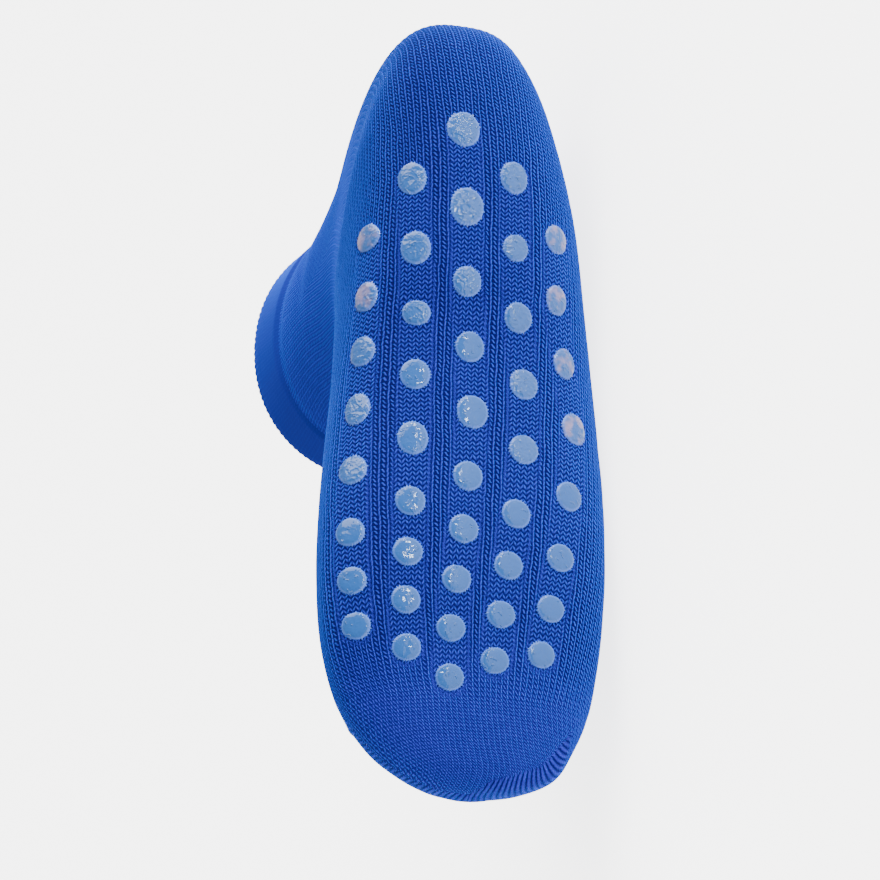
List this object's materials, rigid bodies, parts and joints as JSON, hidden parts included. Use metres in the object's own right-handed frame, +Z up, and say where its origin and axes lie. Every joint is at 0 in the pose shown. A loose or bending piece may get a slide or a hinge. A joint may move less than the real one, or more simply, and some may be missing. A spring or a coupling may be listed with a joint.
{
  "type": "slipper sock",
  "caption": "Knitted slipper sock for the left foot, with a short leg, a turned welt at the collar and round gel grip dots under the sole.",
  "frame": {"origin": "on the floor under the middle of the bounding box of the sock, which lies on its inner side", "axes": "-X towards the toe tip, +Y from the sole to the leg, +Z up from the floor, which is the foot's outer side"},
  "size_m": [0.248, 0.1212, 0.0872],
  "materials": {
    "blue_knit": "plain cotton knit, matt with a soft nap",
    "grip_gel": "clear printed gel, glossy"
  },
  "bodies": {
    "root": {"sock_knit": "blue_knit", "grip_dot_A1": "grip_gel", "grip_dot_A2": "grip_gel", "grip_dot_A3": "grip_gel", "grip_dot_A4": "grip_gel", "grip_dot_A5": "grip_gel", "grip_dot_A6": "grip_gel", "grip_dot_A7": "grip_gel", "grip_dot_A8": "grip_gel", "grip_dot_B1": "grip_gel", "grip_dot_B2": "grip_gel", "grip_dot_B3": "grip_gel", "grip_dot_B4": "grip_gel", "grip_dot_B5": "grip_gel", "grip_dot_B6": "grip_gel", "grip_dot_B7": "grip_gel", "grip_dot_B8": "grip_gel", "grip_dot_B9": "grip_gel", "grip_dot_C1": "grip_gel", "grip_dot_C2": "grip_gel", "grip_dot_C3": "grip_gel", "grip_dot_C4": "grip_gel", "grip_dot_C5": "grip_gel", "grip_dot_C6": "grip_gel", "grip_dot_C7": "grip_gel", "grip_dot_C8": "grip_gel", "grip_dot_C9": "grip_gel", "grip_dot_C10": "grip_gel", "grip_dot_D1": "grip_gel", "grip_dot_D2": "grip_gel", "grip_dot_D3": "grip_gel", "grip_dot_D4": "grip_gel", "grip_dot_D5": "grip_gel", "grip_dot_D6": "grip_gel", "grip_dot_D7": "grip_gel", "grip_dot_D8": "grip_gel", "grip_dot_D9": "grip_gel", "grip_dot_E1": "grip_gel", "grip_dot_E2": "grip_gel", "grip_dot_E3": "grip_gel", "grip_dot_E4": "grip_gel", "grip_dot_E5": "grip_gel", "grip_dot_E6": "grip_gel", "grip_dot_E7": "grip_gel", "grip_dot_E8": "grip_gel"}
  },
  "joints": []
}
